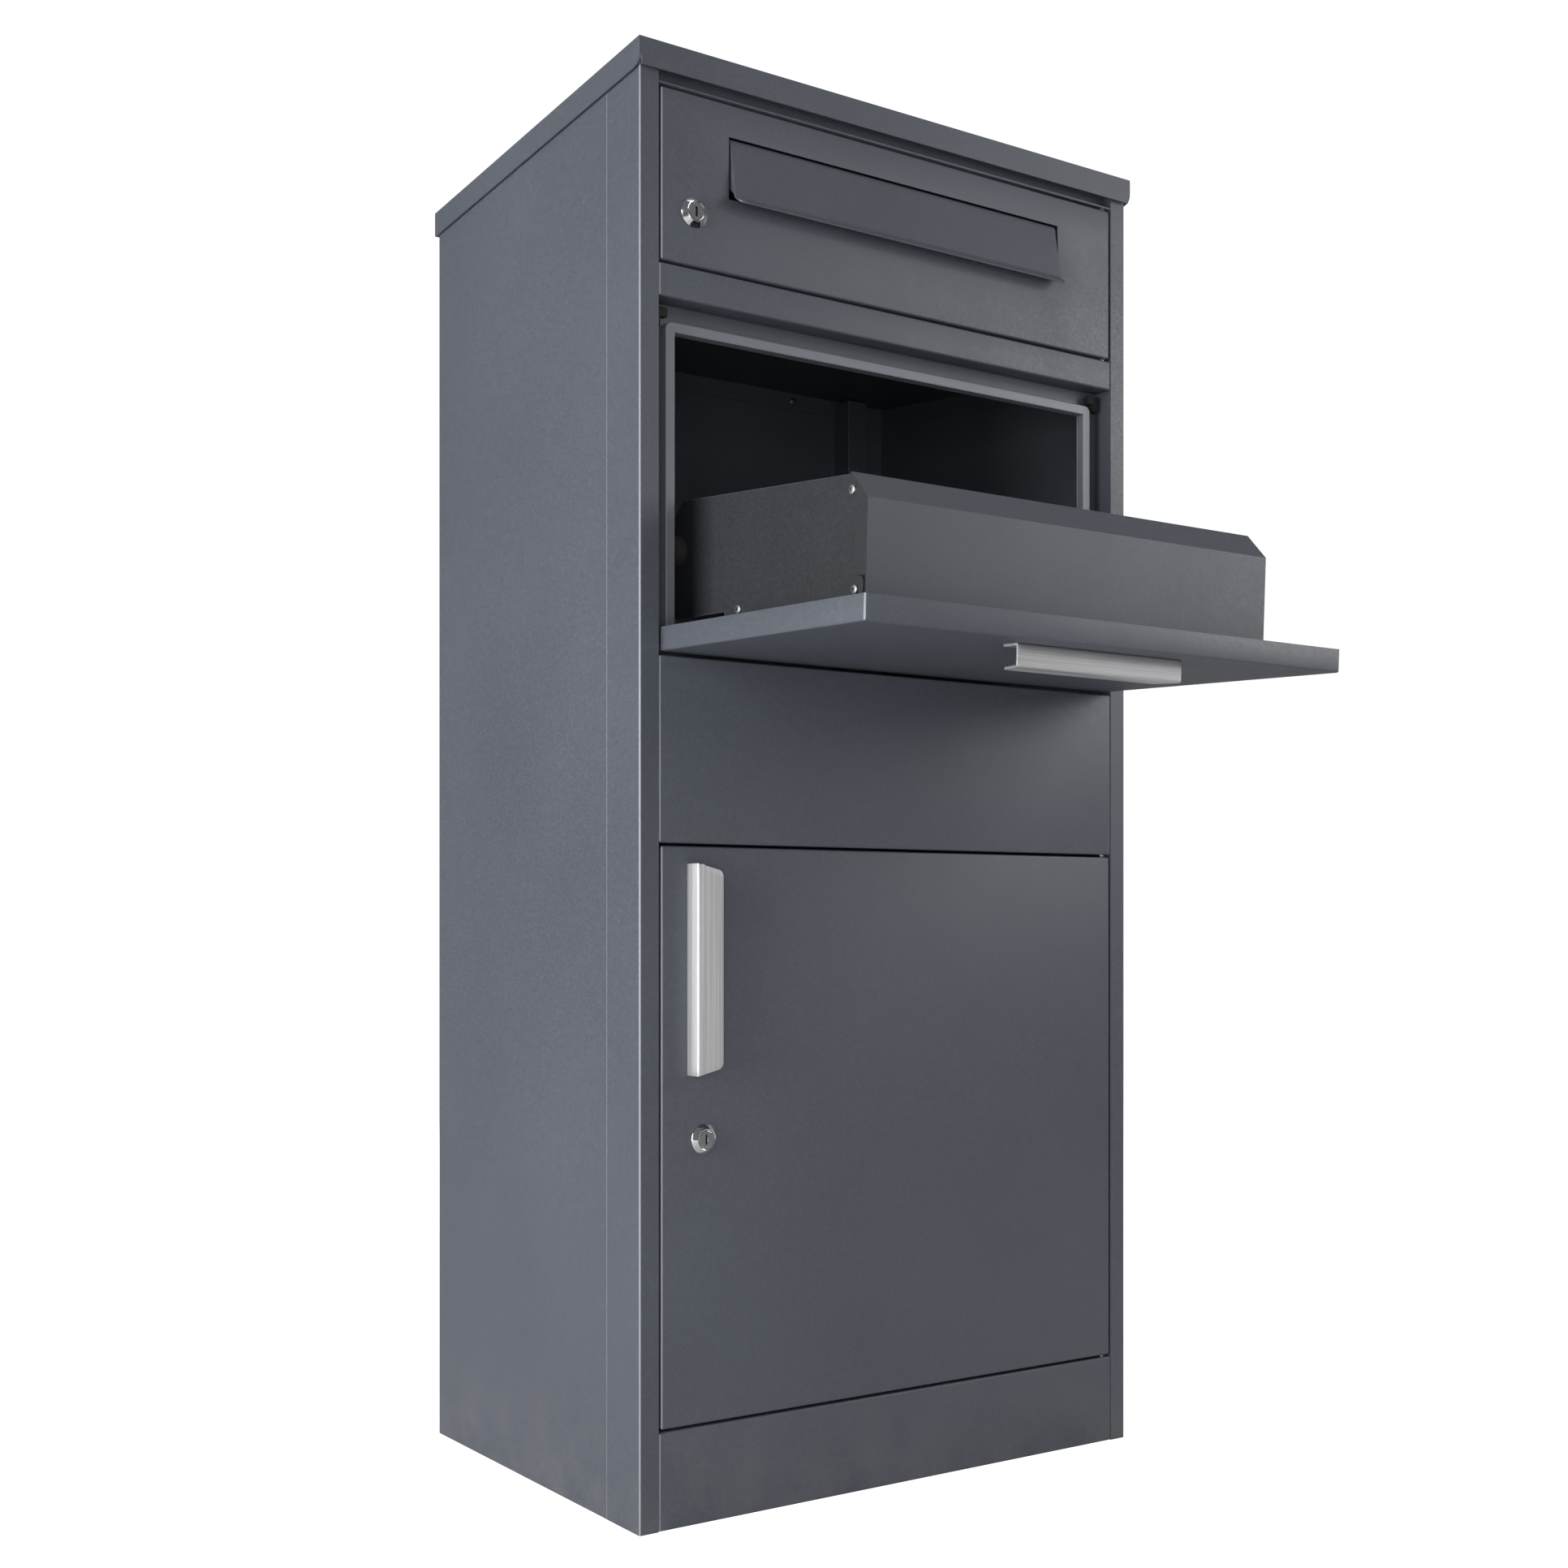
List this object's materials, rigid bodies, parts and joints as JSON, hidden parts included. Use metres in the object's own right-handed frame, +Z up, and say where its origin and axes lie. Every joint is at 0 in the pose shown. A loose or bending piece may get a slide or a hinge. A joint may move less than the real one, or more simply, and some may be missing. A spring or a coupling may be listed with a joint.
{
  "type": "parcel drop box",
  "caption": "Free-standing sheet-steel parcel drop box with a tilting parcel tray, a letter door with a slot flap, and a lockable parcel door.",
  "frame": {"origin": "centre of the base plate's underside, on the ground", "axes": "+X to the right, +Y to the back, +Z up; the doors are on the -Y side"},
  "size_m": [0.4548, 0.559, 1.0108],
  "materials": {
    "anthracite_sheet": "fine-textured anthracite powder coat",
    "grey_sheet": "smooth mid-grey powder coat",
    "brushed_handle": "brushed along its length",
    "chrome_lock": "polished chrome plate",
    "zinc_hardware": "bright zinc plate",
    "black_rubber": "matt moulded rubber",
    "nylon_bush": "matt black nylon"
  },
  "bodies": {
    "cabinet": {"base_plate": "anthracite_sheet", "left_side_panel": "anthracite_sheet", "right_side_panel": "anthracite_sheet", "back_panel": "anthracite_sheet", "left_front_post": "anthracite_sheet", "right_front_post": "anthracite_sheet", "left_rear_post": "anthracite_sheet", "right_rear_post": "anthracite_sheet", "plinth_panel": "anthracite_sheet", "middle_panel": "anthracite_sheet", "mail_sill_rail": "anthracite_sheet", "top_rail": "anthracite_sheet", "roof_cap": "anthracite_sheet", "mail_shelf": "anthracite_sheet", "chute_bulkhead": "anthracite_sheet", "chute_surround": "grey_sheet", "drop_hinge_pins": "zinc_hardware", "mail_hinge_pins": "zinc_hardware", "parcel_hinge_pins": "zinc_hardware", "mail_lock_strike": "zinc_hardware", "parcel_lock_strike": "zinc_hardware", "closing_pads": "black_rubber", "shelf_screws": "zinc_hardware", "roof_screws": "zinc_hardware", "panel_rivets": "anthracite_sheet"},
    "drop_door": {"drop_door_panel": "anthracite_sheet", "tray_floor": "anthracite_sheet", "tray_left_side": "anthracite_sheet", "tray_right_side": "anthracite_sheet", "tray_front_plate": "anthracite_sheet", "tray_screws": "zinc_hardware", "tray_stops": "black_rubber", "drop_handle": "brushed_handle", "drop_handle_screws": "zinc_hardware", "drop_door_bushes": "nylon_bush"},
    "mail_door": {"mail_door_panel": "anthracite_sheet", "mail_door_bushes": "nylon_bush", "flap_rod": "zinc_hardware", "flap_rod_brackets": "zinc_hardware", "mail_lock_body": "chrome_lock", "mail_lock_nut": "zinc_hardware"},
    "letter_flap": {"letter_flap": "anthracite_sheet"},
    "mail_lock_core": {"mail_lock_plug": "chrome_lock", "mail_lock_cam": "zinc_hardware", "mail_cam_screw": "zinc_hardware"},
    "parcel_door": {"parcel_door_panel": "anthracite_sheet", "parcel_door_stiffener": "anthracite_sheet", "parcel_door_bushes": "nylon_bush", "parcel_handle": "brushed_handle", "parcel_handle_screws": "zinc_hardware", "parcel_lock_body": "chrome_lock", "parcel_lock_nut": "zinc_hardware"},
    "parcel_lock_core": {"parcel_lock_plug": "chrome_lock", "parcel_lock_cam": "zinc_hardware", "parcel_cam_screw": "zinc_hardware"}
  },
  "joints": [
    {"name": "drop_door_hinge", "type": "hinge", "parent": "cabinet", "child": "drop_door", "pos_m": [0, -0.1572, 0.6032], "axis": [-1, 0, 0], "range_deg": [0, 92.3]},
    {"name": "mail_door_hinge", "type": "hinge", "parent": "cabinet", "child": "mail_door", "pos_m": [0.2037, -0.1572, 0.92], "axis": [0, 0, 1], "range_deg": [0, 105]},
    {"name": "letter_flap_hinge", "type": "hinge", "parent": "mail_door", "child": "letter_flap", "pos_m": [0, -0.1567, 0.957], "axis": [-1, 0, 0], "range_deg": [0, 70]},
    {"name": "mail_lock_turn", "type": "hinge", "parent": "mail_door", "child": "mail_lock_core", "pos_m": [-0.1818, -0.1615, 0.9016], "axis": [0, 1, 0], "range_deg": [0, 90]},
    {"name": "parcel_door_hinge", "type": "hinge", "parent": "cabinet", "child": "parcel_door", "pos_m": [0.2037, -0.1572, 0.267], "axis": [0, 0, 1], "range_deg": [0, 105]},
    {"name": "parcel_lock_turn", "type": "hinge", "parent": "parcel_door", "child": "parcel_lock_core", "pos_m": [-0.1737, -0.1615, 0.2648], "axis": [0, 1, 0], "range_deg": [0, 90]}
  ]
}
